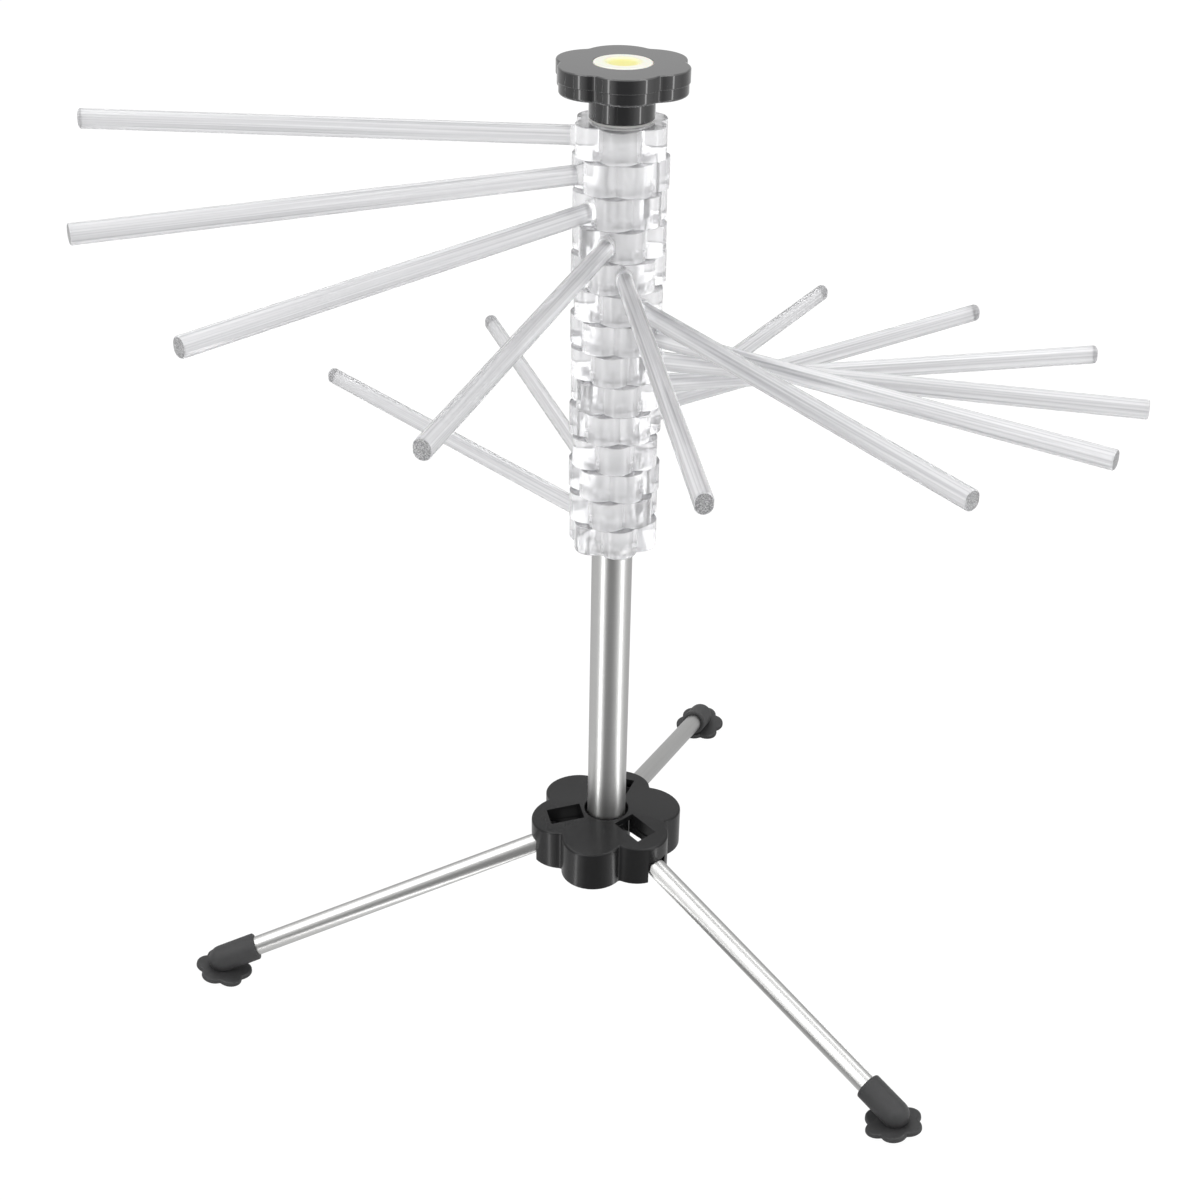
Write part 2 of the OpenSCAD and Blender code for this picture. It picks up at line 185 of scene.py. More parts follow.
# %% Finish
class Finish(Sheet):
    """A material, its Principled shader and the places on its surface."""

    def __init__(self, name, **steady):
        self.material = bpy.data.materials.new(name)
        self.material.use_nodes = True
        super().__init__(self.material.node_tree)
        self.shader = self.tree.nodes["Principled BSDF"]
        for key, value in steady.items():
            self.feed(self.shader.inputs[key.replace("_", " ")], value)
        self.place = self.node("ShaderNodeTexCoord", output="Object")

    def noise(self, scale, detail=3, stretch=None, turn=(0, 0, 0)):
        """Noise from 0 to 1; stretch makes streaks and turn lays them along a piece."""
        place = self.place
        if stretch:
            size = tuple(1 / s for s in stretch)
            place = self.node("ShaderNodeMapping", {"vector_type": "TEXTURE"}, {0: place, 2: turn, 3: size})
        return self.node("ShaderNodeTexNoise", {}, {"Vector": place, "Scale": scale, "Detail": detail})

    def edges(self, bend=1):
        """1 along the mesh's ridges, or with bend -1 in its valleys, and 0 on its flats."""
        pointiness = self.node("ShaderNodeNewGeometry", output=7)
        return (((pointiness - 0.5) * bend - 0.02) * 25).clamped()

    def wear(self, **moving):
        """Wires what changes over the surface."""
        for key, value in moving.items():
            self.feed(self.shader.inputs[key.replace("_", " ")], value)

    def bump(self, height, depth, strength=1.0):
        """Raises the surface by height, up to depth in metres."""
        self.feed(
            self.shader.inputs["Normal"],
            self.node("ShaderNodeBump", {}, {"Height": height, "Distance": depth, "Strength": strength}),
        )


print("finishes can be made")

# %% [markdown]
# ### Brushed stainless
#
# The column and the legs are drawn stainless tube. Seen close, fine lines run round the column, which smear
# a reflection up and down but keep its sides sharp, and fine streaks run along each leg. Noise that is
# squeezed along the tube's length gives the lines, noise that is drawn out along it gives the streaks, and
# either drives a little colour, roughness and bump.


# %% Steel
def steel(name, grain=(0.05, 0.05, 9), turn=(0, 0, 0), shade=0.62, depth=0.00003, **steady):
    """Stainless tube; grain stretches its marks, and turn is how its length is turned away from Z."""
    finish = Finish(name, Metallic=1.0, IOR=2.5, **steady)
    lines = finish.noise(900, 4, grain, turn)
    patches = finish.noise(60, 2, (1, 1, 0.35), turn)
    mark = lines * 0.7 + patches * 0.3
    dark = (shade - 0.07, shade - 0.07, shade - 0.075, 1)
    light = (shade + 0.07, shade + 0.07, shade + 0.06, 1)
    finish.wear(Base_Color=finish.blend(mark, dark, light), Roughness=0.28 + 0.06 * mark)
    finish.bump(lines, depth, 0.8)
    return finish.material


LEGS, ARMS = (1, 2, 3), range(1, 15)
LEG_SLOPE = radians(16.98)
LEG_HEADINGS = {i: radians(193.5) + (i - 1) * radians(120) for i in LEGS}
COLUMN_STEEL = steel("column_steel", Anisotropic=0.8, Anisotropic_Rotation=0.25)
LEG_STREAKS, LEG_TILT = (0.8, 0.8, 0.006), pi / 2 + LEG_SLOPE
LEG_STEEL = {
    i: steel(f"leg_steel_{i}", LEG_STREAKS, (0, LEG_TILT, LEG_HEADINGS[i]), shade=0.55, depth=0.000004)
    for i in LEGS
}
print("steel made")

# %% [markdown]
# ### Plastics and rubber
#
# The knob is polished black, the hub is satin charcoal, and the feet are matt rubber. What tells them
# apart is roughness and the size of their surface grain, more than their colour.


# %% Plastics
def moulded(name, shade, rough, grain, depth, drift=0.25, ridge_highlight=0.0, **steady):
    """Moulded plastic or rubber: a little uneven, with a fine grain, and ridges lightened by a painted
    highlight.
    """
    finish = Finish(name, **steady)
    cloud = finish.noise(90, 4)
    fine = finish.noise(grain, 3)
    light, dark = [tuple(c * (1 + d) for c in shade) + (1,) for d in (drift, -drift)]
    colour = finish.blend(cloud, dark, light)
    # Painted highlight: the ridges, found by the mesh's pointiness, are blended towards a lighter grey.
    if ridge_highlight:
        colour = finish.blend(finish.edges() * cloud, colour, (ridge_highlight, ridge_highlight, ridge_highlight, 1))
    finish.wear(Base_Color=colour, Roughness=(rough - 0.05) + cloud * 0.06 + fine * 0.04)
    finish.bump(fine, depth, 0.5)
    return finish.material


# The knob's ridges get a painted highlight, a lighter grey along their crests.
KNOB_PLASTIC = moulded(
    "knob_plastic", (0.008, 0.008, 0.009), rough=0.08, grain=900, depth=0.000003, ridge_highlight=0.2,
    IOR=1.5, Coat_Weight=1.0, Coat_IOR=1.35,
)
HUB_PLASTIC = moulded(
    "hub_plastic", (0.013, 0.013, 0.0135), rough=0.22, grain=2600, depth=0.00001, IOR=1.34
)
NYLON = moulded("black_nylon", (0.018, 0.018, 0.019), rough=0.42, grain=2200, depth=0.00001)
RUBBER = moulded(
    "foot_rubber", (0.037, 0.037, 0.038), rough=0.58, grain=2600, depth=0.00005, drift=0.45, IOR=1.45
)
WASHER_NYLON = moulded("washer_nylon", (0.72, 0.72, 0.70), rough=0.4, grain=2000, depth=0.00001, drift=0.03)
SCREW_STEEL = steel("screw_steel", shade=0.5)
print("plastics made")

# %% [markdown]
# ### Clear acrylic
#
# Clear acrylic bends light, so its look comes from what stands round it. The moulding leaves a faint
# waviness, which a broad, very shallow bump gives. The collars are clear, with painted shade, a grey line
# where two of them meet and in the valleys of their outline. The rods are slightly frosted, and their haze
# and waviness run along them: each arm stores its own coordinates in an attribute called along, in
# millimetres, and the rods' noise reads that. Their roughness stays above 0.275, because the denoiser takes
# anything smoother for a mirror and leaves its speckles in. Their ends were sawn off, which leaves them grey
# and sparkling.


# %% Acrylic
STACK_TOP, ARM_PITCH = 422.0, 14.0
RIPPLE_DEPTH = 0.1 * MM


def clear_finish(name, clearness, bend):
    """Polished plastic; bend is how much it turns light."""
    return Finish(name, IOR=bend, Transmission_Weight=clearness, Coat_Weight=1.0, Coat_Roughness=0.03)


def hazy(finish, haze, shade, drift):
    """The colour of clear plastic, which haze makes lighter or darker."""
    light, dark = [(shade + d, shade + d, shade + d + 0.012, 1) for d in (drift, -drift)]
    return finish.blend(haze, dark, light)


def collar_acrylic():
    """Clear plastic with painted shade: grey lines where two collars meet and in the valleys of their
    outline.
    """
    finish = clear_finish("collar_acrylic", clearness=0.72, bend=1.17)
    haze = finish.noise(700, 3)
    height = finish.split(finish.place)[2]
    # Painted shade: a grey band where two collars meet, broken up by noise, and grey in the outline's
    # valleys.
    within = ((STACK_TOP * MM - height) / (ARM_PITCH * MM)).math("FRACT") - 0.5
    edge = ((within.math("ABSOLUTE") - 0.46) * 40).clamped()
    patchy = (finish.noise(120, 2) * 3 - 0.7).clamped()
    seam_shade = (edge * patchy * 0.9).math("MAXIMUM", finish.edges(-1) * 0.6)
    colour = finish.blend(seam_shade, hazy(finish, haze, shade=0.98, drift=0.02), (0.3, 0.3, 0.31, 1))
    finish.wear(Base_Color=colour, Roughness=0.03 + haze * 0.08)
    finish.bump(finish.noise(160, 2), RIPPLE_DEPTH, 0.5)
    return finish.material


def rod_acrylic():
    """Frosted plastic with light and dark streaks along the rod."""
    finish = clear_finish("rod_acrylic", clearness=0.8, bend=1.2)
    finish.place = finish.node("ShaderNodeAttribute", {"attribute_name": "along"}, output=1)
    haze = ((finish.noise(1, 1, (0.006, 1.1, 1.1)) - 0.5) * 2.2 + 0.5).clamped()
    finish.wear(Base_Color=hazy(finish, haze, shade=0.71, drift=0.24), Roughness=0.28 + haze * 0.08)
    finish.bump(finish.noise(1, 0, (0.004, 0.4, 0.4)), RIPPLE_DEPTH, 0.5)
    return finish.material


def sawn_acrylic():
    """The rods' ends, grey where the saw cut deep and lighter where it scuffed them."""
    finish = Finish("sawn_acrylic", IOR=1.49, Transmission_Weight=0.15, Coat_Weight=0.3, Coat_Roughness=0.2)
    grit = finish.noise(2300, 5)
    colour = finish.blend(((grit - 0.44) * 6).clamped(), (0.22, 0.22, 0.225, 1), (0.60, 0.60, 0.61, 1))
    finish.wear(Base_Color=colour, Roughness=0.3 + grit * 0.3)
    finish.bump(grit, 0.2 * MM, 0.8)
    return finish.material


COLLAR_ACRYLIC, ROD_ACRYLIC, SAWN_ACRYLIC = collar_acrylic(), rod_acrylic(), sawn_acrylic()
print("acrylic made")

# %% [markdown]
# ### The cap
#
# The cap is glossy cream with a pale yellow dished middle. The colour follows the distance from the
# column's axis, which is the length of the point's x and y.


# %% Cap
CAP_R = 12.45
CAP_COLOURS = [
    (0, (0.86, 0.81, 0.20)), (0.42, (0.88, 0.83, 0.26)),
    (0.60, (0.945, 0.93, 0.62)), (0.72, (0.95, 0.945, 0.84)),
]


def cap_finish():
    """Cream plastic, yellow in the dish."""
    finish = Finish("cap_plastic", IOR=1.5, Subsurface_Weight=0.15, Subsurface_Scale=0.002)
    x, y, _ = finish.split(finish.place)
    away = (x * x + y * y).math("SQRT") / (CAP_R * MM)
    ring = finish.node("ShaderNodeValToRGB", {"stops": CAP_COLOURS}, {0: away})
    cloud = finish.noise(300, 3)
    colour = finish.blend(cloud * 0.12, ring, (0.93, 0.92, 0.80, 1))
    finish.wear(Base_Color=colour, Roughness=0.2 + cloud * 0.08)
    finish.bump(finish.noise(1500, 2), 0.000004, 0.4)
    return finish.material


CAP_PLASTIC = cap_finish()
print("cap made")

# %% [markdown]
# ## Dressing the construction model
#
# Every construction piece gets its finish first. The plain tubes stay as they are, and so do the pieces
# that are hidden or only just seen. The arms, the knob with its cap and washer, the hub and the feet are
# made again below, with the roundings and the bends that a mould gives them.


def paint(piece, material):
    """Gives a piece one material."""
    piece.data.materials.clear()
    piece.data.materials.append(material)


paint(nodes["column_tube"], COLUMN_STEEL)
paint(nodes["column_top_plug"], WASHER_NYLON)
paint(nodes["column_foot_plug"], NYLON)
for name in ("stack_ring", "hub_screw", "hub_washer", "knob_stud", *[f"leg_pin_{i}" for i in LEGS]):
    paint(nodes[name], SCREW_STEEL)
for i in LEGS:
    paint(nodes[f"leg_tube_{i}"], LEG_STEEL[i])
    paint(nodes[f"leg_knuckle_{i}"], NYLON)
    paint(nodes[f"leg_foot_{i}"], RUBBER)
paint(nodes["hub"], HUB_PLASTIC)
for k in ARMS:
    paint(nodes[f"arm_{k}"], COLLAR_ACRYLIC)
for name in ("knob_upper_shell", "knob_lower_shell"):
    paint(nodes[name], KNOB_PLASTIC)
paint(nodes["knob_cap"], CAP_PLASTIC)
paint(nodes["knob_washer"], WASHER_NYLON)
print("painted", len(nodes))

# %% [markdown]
# ## Drawing a moulding as a line
#
# The hub, the collars, the knob's shells, the cap and the feet all come from a mould, and all follow one
# rule: a cut-away line taken round the axis, where the outermost radius swells and dips six times. So
# each piece is drawn as a short line in millimetres. A point's share is 0 on the bore and 1 on the lobed
# outline, its inset moves it inwards, and its lift raises it with a domed top. Corners are rounded here,
# because a moulded edge is never sharp, and the rounded edge is what catches the light.

# %% Drawn lines
# A short flat on each side of a rounding keeps its shading off the faces beside it.
HOLDING_EDGE = 0.05


def line_mesh(name, spots):
    """A closed line as a mesh: each point's share, inset and height are its x, y and z."""
    mesh = bpy.data.meshes.new(name)
    edges = [(i, (i + 1) % len(spots)) for i in range(len(spots))]
    mesh.from_pydata([spot[:3] for spot in spots], edges, [])
    lift = mesh.attributes.new("lift", "FLOAT", "POINT")
    for item, spot in zip(lift.data, spots):
        item.value = spot[3]
    return mesh


def draw(name, bore, reach, corners, steps=4):
    """Rounds a line's corners; each is (share, inset, height, lift, radius of its rounding)."""
    span = [bore + (reach - bore) * corner[0] for corner in corners]
    flat = [Vector((whole - corner[1], corner[2])) for whole, corner in zip(span, corners)]
    spots = []
    for i, (share, inset, height, lift, radius) in enumerate(corners):
        here = flat[i]
        if not radius:
            spots.append((share, inset, height, lift))
            continue
        back = (flat[i - 1] - here).normalized()
        ahead = (flat[(i + 1) % len(flat)] - here).normalized()
        half = back.angle(ahead) / 2
        centre = here + (back + ahead).normalized() * radius / sin(half)
        leave, land = here + back * radius / tan(half), here + ahead * radius / tan(half)
        arc = [leave + back * HOLDING_EDGE]
        for step in range(steps + 1):
            arc.append(centre + (leave - centre).lerp(land - centre, step / steps).normalized() * radius)
        arc.append(land + ahead * HOLDING_EDGE)
        spots += [(share, span[i] - point.x, point.y, lift) for point in arc]
    return line_mesh(name, spots)


print("lines can be drawn")

# %% [markdown]
# ## Forms
#
# A Form is a Geometry Nodes tree that works in millimetres and has a named input for each size. The same
# Wire and Sheet serve here, since the Math node is one node for both kinds of tree. `grow` runs a form on
# a drawn line, keeps the result as a plain mesh and takes the modifier off again.


# %% Form and grow
WELD, FAR = 0.002, 80.0


class Form(Sheet):
    """A Geometry Nodes tree, its sizes and its ending."""

    SOCKETS = {
        int: "NodeSocketInt", float: "NodeSocketFloat", str: "NodeSocketObject",
        type(None): "NodeSocketMaterial",
    }

    def __init__(self, name, **sizes):
        super().__init__(bpy.data.node_groups.new(name, "GeometryNodeTree"))
        face = self.tree.interface
        face.new_socket("line", in_out="INPUT", socket_type="NodeSocketGeometry")
        for size, usual in sizes.items():
            socket = face.new_socket(size, in_out="INPUT", socket_type=self.SOCKETS[type(usual)])
            if type(usual) in (int, float):
                socket.default_value = usual
        face.new_socket("geometry", in_out="OUTPUT", socket_type="NodeSocketGeometry")
        entry = self.tree.nodes.new("NodeGroupInput")
        self.line, *self.sizes = [Wire(self, socket) for socket in entry.outputs if socket.name]
        self.index = self.node("GeometryNodeInputIndex")
        self.position = self.node("GeometryNodeInputPosition")

    def use(self, form, line=None, **sizes):
        """Another form as one node of this one."""
        if line is not None:
            sizes["line"] = line
        return self.node("GeometryNodeGroup", {"node_tree": form.tree}, sizes)

    def box(self, low, high):
        """A box between two corners."""
        size = tuple(b - a for a, b in zip(low, high))
        middle = tuple((a + b) / 2 for a, b in zip(low, high))
        return self.moved(self.node("GeometryNodeMeshCube", {}, {"Size": size}), middle)

    def moved(self, geometry, shift=(0, 0, 0), turn=(0, 0, 0), scale=(1, 1, 1)):
        return self.node(
            "GeometryNodeTransform", {},
            {"Geometry": geometry, "Translation": shift, "Rotation": turn, "Scale": scale},
        )

    def joined(self, *parts):
        return self.node("GeometryNodeJoinGeometry", {}, {0: list(parts)})

    def combined(self, operation, inputs):
        return self.node("GeometryNodeMeshBoolean", {"operation": operation, "solver": "MANIFOLD"}, inputs)

    def fused(self, *parts):
        return self.combined("UNION", {1: list(parts)})

    def carved(self, body, *cuts):
        return self.combined("DIFFERENCE", {0: body, 1: list(cuts)})

    def placed(self, geometry, spots):
        """Moves every point to its spot."""
        return self.node("GeometryNodeSetPosition", {}, {"Geometry": geometry, "Position": spots})

    def welded(self, geometry, spots):
        """A grid laid on its spots, with the points that meet made one."""
        laid = self.placed(geometry, spots)
        return self.node("GeometryNodeMergeByDistance", {}, {"Geometry": laid, "Distance": WELD})

    def sampled(self, kind, value, index):
        """A value of the drawn line at one of its points."""
        return self.node("GeometryNodeSampleIndex", {"data_type": kind}, {0: self.line, 1: value, 2: index})

    def object(self, drawn):
        """The line of another object."""
        return self.node("GeometryNodeObjectInfo", {}, {"Object": drawn}, output=4)

    def creased(self, geometry, angle=0.6):
        """Smooth faces, with sharp edges where they turn by more than the angle."""
        soft = self.node(
            "GeometryNodeSetShadeSmooth", {"domain": "FACE"}, {"Geometry": geometry, "Shade Smooth": True}
        )
        bend = self.node("GeometryNodeInputMeshEdgeAngle")
        sharp = self.node("FunctionNodeCompare", {"operation": "GREATER_THAN"}, {0: bend, 1: angle})
        return self.node(
            "GeometryNodeSetShadeSmooth", {"domain": "EDGE"},
            {"Geometry": soft, "Selection": sharp, "Shade Smooth": False},
        )

    def give(self, geometry):
        """Ends a form that other forms use."""
        self.feed(self.tree.nodes.new("NodeGroupOutput").inputs[0], geometry)
        return self

    def finish(self, geometry, *materials):
        """Ends a form that makes a piece: metres, real geometry and its material, unless it has one."""
        real = self.node("GeometryNodeRealizeInstances", {}, {0: self.moved(geometry, scale=(MM, MM, MM))})
        for material in materials:
            real = self.node("GeometryNodeSetMaterial", {}, {"Geometry": real, "Material": material})
        return self.give(real)


def line_object(name, line):
    """Puts a drawn line in the scene."""
    drawn = bpy.data.objects.new(name, line)
    bpy.context.scene.collection.objects.link(drawn)
    return drawn


def grow(name, form, line, **sizes):
    """Runs a form on a line and keeps the result as a plain mesh."""
    piece = line_object(name, line)
    step = piece.modifiers.new("form", "NODES")
    step.node_group = form.tree
    for socket in form.tree.interface.items_tree:
        if socket.in_out == "INPUT" and socket.name in sizes:
            step[socket.identifier] = sizes[socket.name]
    made = bpy.data.meshes.new_from_object(piece.evaluated_get(bpy.context.evaluated_depsgraph_get()))
    piece.modifiers.remove(step)
    piece.data = made
    made.name = name
    return piece


def settle(piece, body, slot, *replaced):
    """Puts a piece on its body, in place of construction pieces."""
    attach(piece, body)
    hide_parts(*replaced)
    print(piece.name, len(piece.data.polygons), "faces, rides on", body)


print("forms can be written")

# %% [markdown]
# ### The six-lobed form
#
# A grid of points has one row for each point of the drawn line and one column for each step round the
# axis. Every grid point looks up its own point of the line, and the outline's radius at its own angle.
# The outline is six circles that meet in valleys. The columns crowd together in the valleys, where a
# small rounding softens the meeting, as a mould maker's cutter would leave it.

# %% Lobed form
LOBED_SIZES = {"bore": 9.8, "reach": 20.6, "valley": 16.4, "soften": 0.03, "crown": 0.0, "turn": 0.0}


def lobed_form():
    """A grid laid on the drawn line, all the way round the axis."""
    form = Form("lobed_form", around=144, **LOBED_SIZES)
    around, bore, reach, valley, soften, crown, turn = form.sizes
    count = form.node("GeometryNodeAttributeDomainSize", {"component": "MESH"}, {0: form.line})
    rows = count + 1
    grid = form.node("GeometryNodeMeshGrid", {}, {"Vertices X": around + 1, "Vertices Y": rows})
    column = ((form.index + 0.5) / rows).math("FLOOR")
    # The 0.1 keeps a whole number from being cut down to the one before it.
    spot = (form.index - column * rows).math("MODULO", count) + 0.1
    lift = form.node("GeometryNodeInputNamedAttribute", {"data_type": "FLOAT"}, {"Name": "lift"})
    raised = form.sampled("FLOAT", lift, spot)
    share, inset, height = form.split(form.sampled("FLOAT_VECTOR", form.position, spot))
    lobe = column / around * 6
    nearest = (lobe + 0.5).math("FLOOR")
    across = (lobe - nearest) * 2
    angle = across * (1.45 - 0.45 * across * across) * (pi / 6)
    centre = (reach * reach - valley * valley) / (2 * (reach - valley * cos(pi / 6)))
    radius = reach - centre
    side = centre * angle.math("SINE")
    outline = centre * angle.math("COSINE") + (radius * radius - side * side).math("SQRT")
    dip = (radius * radius - centre * centre * 0.25).math("SQRT")
    slope = centre * 0.5 * (1 + centre * cos(pi / 6) / dip)
    near = (angle.math("ABSOLUTE") - (pi / 6 - soften)).math("MAXIMUM", 0)
    outline = outline + slope * near * near / (2 * soften)
    radial = bore + (outline - bore) * share - inset
    heading = nearest * (pi / 3) + angle + turn
    dome = crown * raised * (1 - radial * radial / (reach * reach))
    place = form.point(radial * heading.math("COSINE"), radial * heading.math("SINE"), height + dome)
    return form.give(form.welded(grid, place))


LOBED = lobed_form()


def lobed_piece():
    """A lobed moulding that is a piece by itself."""
    form = Form("lobed_piece", **LOBED_SIZES, material=None)
    *sizes, material = form.sizes
    return form.finish(form.creased(form.use(LOBED, form.line, **dict(zip(LOBED_SIZES, sizes)))), material)


MOULDING = lobed_piece()
print("lobed form made")

# %% [markdown]
# ## The clear arms
#
# Each arm is one clear moulding: a six-lobed collar with an upright oval rod. The collar's underside has
# a recess round the bore and a curved track, and a lug on the collar below runs in that track, so two
# arms can only swing 28 degrees apart. One form makes all fourteen. It takes the arm's number, which says
# how high the arm sits, and its heading, and together they make the spiral stair. No arm runs on the top
# collar, so there the lug stays inside the collar.

# %% Arm forms
COLLAR_BORE_R, COLLAR_R, COLLAR_VALLEY_R, TOP_ARM, ARM_STEP = 9.8, 20.6, 16.4, 181, 24
ARM_TRIMS = (-3.5, 0, -0.5, 1, 0.5, 2, 1.5, -0.5, -0.5, 0, 0, -0.5, -1, -1)
ROD_WIDTH, ROD_HEIGHT, ROD_START, ROD_END = 6.8, 8.4, 14.9, 228.0


def rod_form():
    """An upright oval bar along X; a line point's share is how far out it is, its inset how thick."""
    form = Form("oval_rod", around=80, width=6.8, height=8.4)
    around, width, height = form.sizes
    count = form.node("GeometryNodeAttributeDomainSize", {"component": "MESH"}, {0: form.line})
    grid = form.node("GeometryNodeMeshGrid", {}, {"Vertices X": around + 1, "Vertices Y": count})
    column = ((form.index + 0.5) / count).math("FLOOR")
    spot = form.index - column * count + 0.1
    out, thick, _ = form.split(form.sampled("FLOAT_VECTOR", form.position, spot))
    angle = (column + 0.5) / around * tau
    rise = angle.math("SINE")
    across = width / 2 * angle.math("COSINE")
    up = width / 2 * rise + (height - width) / 2 * rise.math("SIGN")
    return form.give(form.welded(grid, form.point(out, across * thick, up * thick)))


def ring_sector_form():
    """Part of a flat ring, bent out of a cube."""
    form = Form("ring_sector", inner=12.4, outer=14.2, start=0.0, end=1.0, low=0.0, high=1.0)
    inner, outer, start, end, low, high = form.sizes
    cube = form.node("GeometryNodeMeshCube", {}, {"Size": (1, 1, 1), "Vertices Y": 13})
    out, turn, up = [value + 0.5 for value in form.split(form.position)]
    radial, heading = inner + (outer - inner) * out, start + (end - start) * turn
    height = low + (high - low) * up
    place = form.point(radial * heading.math("COSINE"), radial * heading.math("SINE"), height)
    return form.give(form.placed(cube, place))


ROD, RING_SECTOR = rod_form(), ring_sector_form()
print("rod and ring sector made")

# %% Clear arm form
LUG, TRACK = (12.4, 14.2, radians(142), radians(158)), (9.0, 14.4, radians(141.4), radians(186.6))
LUG_TOP, LUG_FOOT, HIDDEN_LUG_TOP, TRACK_DEPTH, END_FACE = 15.8, 13.0, 13.5, 2.1, 0.06


def clear_arm_form():
    """Collar, rod and lug fused, the track carved out, and each part's finish set by how far out it is."""
    form = Form(
        "clear_arm", rod_line="", arm=1, heading=0.0, lug_top=LUG_TOP, collar=None, rod=None, rod_end=None
    )
    rod_line, arm, heading, lug_top, *materials = form.sizes
    collar = form.use(
        LOBED, form.line, bore=COLLAR_BORE_R, reach=COLLAR_R, valley=COLLAR_VALLEY_R, soften=0.035,
        turn=pi / 6,
    )
    rod = form.use(ROD, form.object(rod_line), width=ROD_WIDTH, height=ROD_HEIGHT)
    rod = form.moved(rod, (0, 0, ARM_PITCH / 2))
    names = ("inner", "outer", "start", "end")
    lug = form.use(RING_SECTOR, **dict(zip(names, LUG)), low=LUG_FOOT, high=lug_top)
    track = form.use(RING_SECTOR, **dict(zip(names, TRACK)), low=-1.0, high=TRACK_DEPTH)
    moulding = form.creased(form.carved(form.fused(collar, rod, lug), track))
    moulding = form.node(
        "GeometryNodeStoreNamedAttribute", {"data_type": "FLOAT_VECTOR"},
        {"Geometry": moulding, "Name": "along", "Value": form.position},
    )
    out = form.split(form.position)[0]
    for start, material in zip((-FAR, COLLAR_R, ROD_END - END_FACE), materials):
        beyond = form.node("FunctionNodeCompare", {"operation": "GREATER_THAN"}, {0: out, 1: start})
        moulding = form.node(
            "GeometryNodeSetMaterial", {}, {"Geometry": moulding, "Selection": beyond, "Material": material}
        )
    lifted = form.moved(moulding, form.point(0, 0, STACK_TOP - ARM_PITCH * arm), form.point(0, 0, heading))
    return form.finish(lifted)


CLEAR_ARM = clear_arm_form()
print("clear arm form made")

# %% The fourteen arms
# A skin is left off both ends of each collar, so that two of them never lie in one plane.
SKIN, EDGE = 0.05, 0.45
COLLAR_LINE = draw("collar_line", COLLAR_BORE_R, COLLAR_R, [
    (0, -2.3, SKIN, 0, 0),
    (1, 0, SKIN, 0, EDGE),
    (1, 0, ARM_PITCH - SKIN, 0, EDGE),
    (0, 0, ARM_PITCH - SKIN, 0, 0.3),
    (0, 0, 2.6, 0, 0),
    (0, -2.3, 2.6, 0, 0),
])
ROOT_SWELL = [(ROD_START, 1.25), (16.4, 1.23), (17.6, 1.14), (19.2, 1.06), (21.2, 1.015), (23.5, 1.0)]
TIP_ROUNDING = ((0.75, 1.0), (0.7, 1.0), (0.35, 0.975), (0.1, 0.91), (0, 0.82))
TIP_EDGE = [(ROD_END - back, thick) for back, thick in TIP_ROUNDING]
rod_points = [(ROD_START, 0.0)] + ROOT_SWELL + TIP_EDGE + [(ROD_END, 0.0)]
rod_object = line_object("rod_line", line_mesh("rod_line", [(out, thick, 0, 0) for out, thick in rod_points]))
for k, trim in zip(ARMS, ARM_TRIMS):
    heading = radians(TOP_ARM + (k - 1) * ARM_STEP + trim)
    arm = grow(f"clear_arm_{k}", CLEAR_ARM, COLLAR_LINE, rod_line=rod_object, arm=k, heading=heading,
               lug_top=LUG_TOP if k > 1 else HIDDEN_LUG_TOP,
               collar=COLLAR_ACRYLIC, rod=ROD_ACRYLIC, rod_end=SAWN_ACRYLIC)
    settle(arm, f"arm_{k}", "clear_acrylic", f"arm_{k}")
bpy.data.objects.remove(rod_object)

# %% [markdown]
# ## The knob
#
# The knob is two glossy black shells that meet at mid-height, the lower one a little smaller, so a fine
# step runs round it. The cap sits in a round recess with a thin gap, and the boss under the knob presses
# the stack down.

# %% Knob
KNOB_R, KNOB_VALLEY_R, KNOB_TURN, KNOB_STEP = 29.0, 25.7, radians(34.7), 0.5
KNOB_FOOT, DISC_FOOT, KNOB_PART, KNOB_TOP, CAP_SEAT = 423.0, 434.5, 439.7, 445.7, 442.7
RECESS_R, STUD_BORE_R, BOSS_R = 12.55, 4.05, 13.85
knob_sizes = {
    "reach": KNOB_R, "valley": KNOB_VALLEY_R, "soften": 0.055, "turn": KNOB_TURN, "material": KNOB_PLASTIC,
}
upper_line = draw("upper_line", RECESS_R, KNOB_R, [
    (0, RECESS_R, KNOB_PART, 0, 0),
    (1, 0, KNOB_PART, 0, 0.25),
    (1, 0, KNOB_TOP, 0, 0.7),
    (0, 0, KNOB_TOP, 0, 0.3),
    (0, 0, CAP_SEAT, 0, 0),
    (0, RECESS_R, CAP_SEAT, 0, 0),
])
lower_line = draw("lower_line", STUD_BORE_R, KNOB_R, [
    (0, 0, KNOB_FOOT, 0, 0),
    (0, STUD_BORE_R - BOSS_R, KNOB_FOOT, 0, 0.5),
    (0, STUD_BORE_R - BOSS_R, DISC_FOOT, 0, 0.6),
    (1, KNOB_STEP, DISC_FOOT, 0, 1.1),
    (1, KNOB_STEP, KNOB_PART, 0, 0.25),
    (0, STUD_BORE_R, KNOB_PART, 0, 0),
    (0, STUD_BORE_R, DISC_FOOT, 0, 0),
    (0, 0, DISC_FOOT, 0, 0),
])
upper = grow("knob_top_shell", MOULDING, upper_line, bore=RECESS_R, **knob_sizes)
settle(upper, "knob", "knob_plastic", "knob_upper_shell")
lower = grow("knob_boss_shell", MOULDING, lower_line, bore=STUD_BORE_R, **knob_sizes)
settle(lower, "knob", "knob_plastic", "knob_lower_shell")

